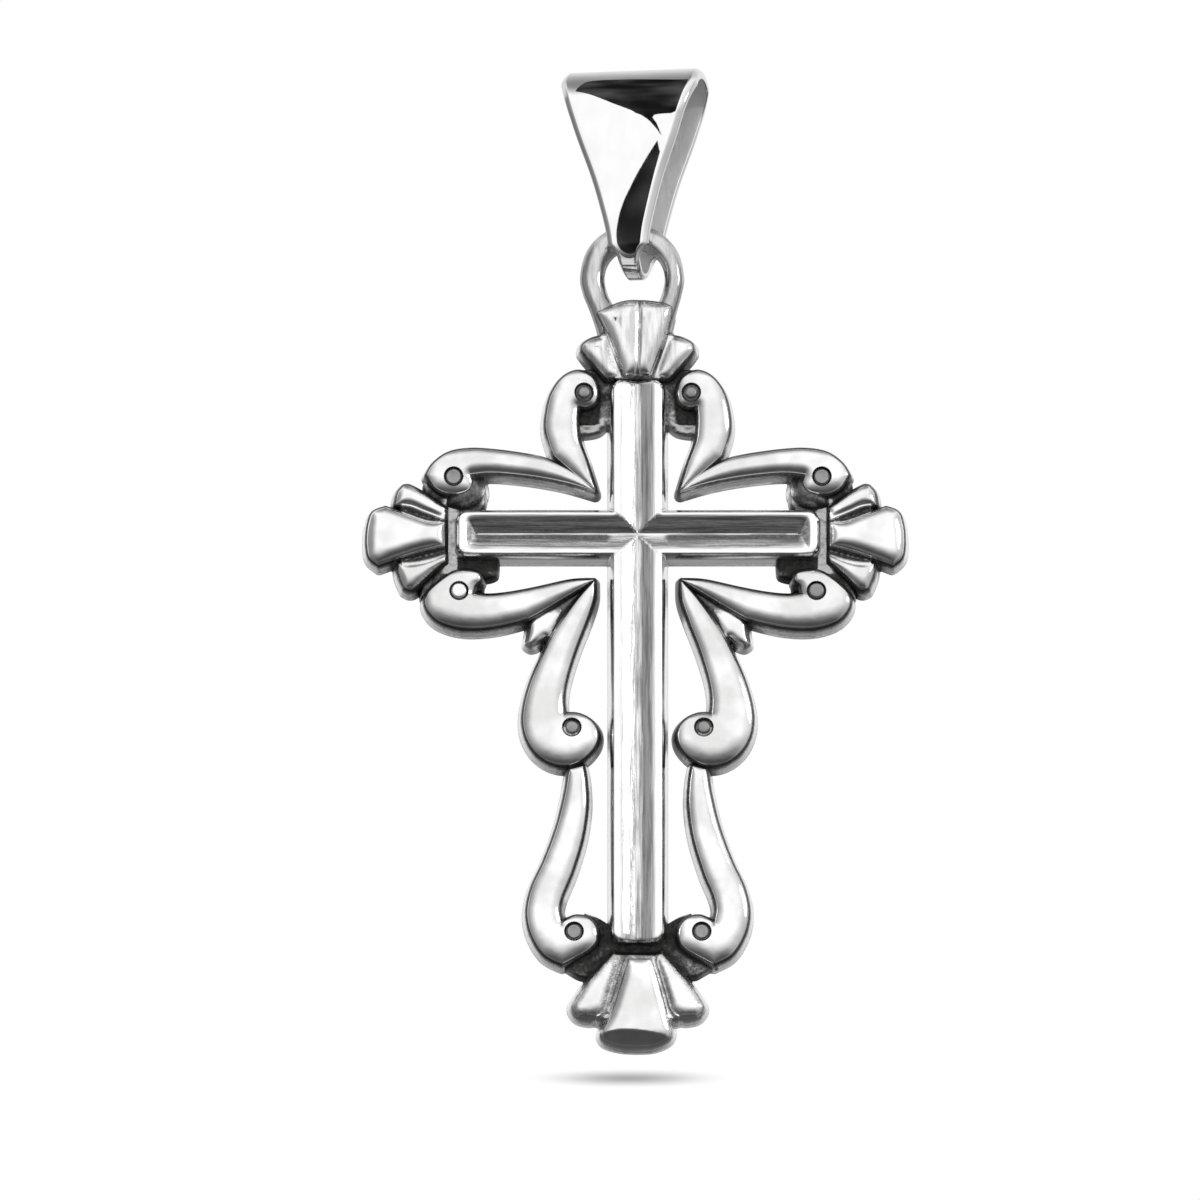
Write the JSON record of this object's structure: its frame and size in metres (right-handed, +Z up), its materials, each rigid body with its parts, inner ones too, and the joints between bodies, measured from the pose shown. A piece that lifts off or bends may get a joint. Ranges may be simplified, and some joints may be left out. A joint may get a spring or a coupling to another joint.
{
  "type": "cross pendant",
  "caption": "Openwork cast cross with grooved bars, paired volute scrolls and shell fans at the ends, hung by a ring eye in a folded tapering bail.",
  "frame": {"origin": "where the chain bears, at the middle of the inside of the bail's top bend", "axes": "+Z up along the upright of the cross, -Y out of the decorated front, +X to the right seen from the front"},
  "size_m": [0.0246, 0.0052, 0.0444],
  "materials": {
    "cast_silver": "polished cast silver with fine hairline scratches",
    "bail_silver": "mirror-polished silver sheet",
    "darkened_silver": "oxidised, darkened silver in the recesses"
  },
  "bodies": {
    "bail": {"bail": "bail_silver"},
    "cross": {"bar_cross": "cast_silver", "eye_loop": "cast_silver", "fan_bottom": "cast_silver", "fan_left": "cast_silver", "fan_right": "cast_silver", "fan_top": "cast_silver", "leaf_left": "cast_silver", "leaf_right": "cast_silver", "scroll_lower_arm_left": "cast_silver", "scroll_lower_arm_right": "cast_silver", "scroll_lower_left": "cast_silver", "scroll_lower_right": "cast_silver", "scroll_middle_left": "cast_silver", "scroll_middle_right": "cast_silver", "scroll_top_left": "cast_silver", "scroll_top_right": "cast_silver", "scroll_upper_arm_left": "cast_silver", "scroll_upper_arm_right": "cast_silver", "volute_bead_lower_arm_left": "darkened_silver", "volute_bead_lower_arm_right": "darkened_silver", "volute_bead_lower_left": "darkened_silver", "volute_bead_lower_right": "darkened_silver", "volute_bead_middle_left": "darkened_silver", "volute_bead_middle_right": "darkened_silver", "volute_bead_top_left": "darkened_silver", "volute_bead_top_right": "darkened_silver", "volute_bead_upper_arm_left": "darkened_silver", "volute_bead_upper_arm_right": "darkened_silver", "web_arm_left": "darkened_silver", "web_arm_right": "darkened_silver", "web_bottom": "darkened_silver", "web_top_left": "darkened_silver", "web_top_right": "darkened_silver"}
  },
  "joints": [
    {"name": "cross_swing", "type": "hinge", "parent": "bail", "child": "cross", "pos_m": [0, 0, -0.00754], "axis": [1, 0, 0], "range_deg": [-75, 75]}
  ]
}
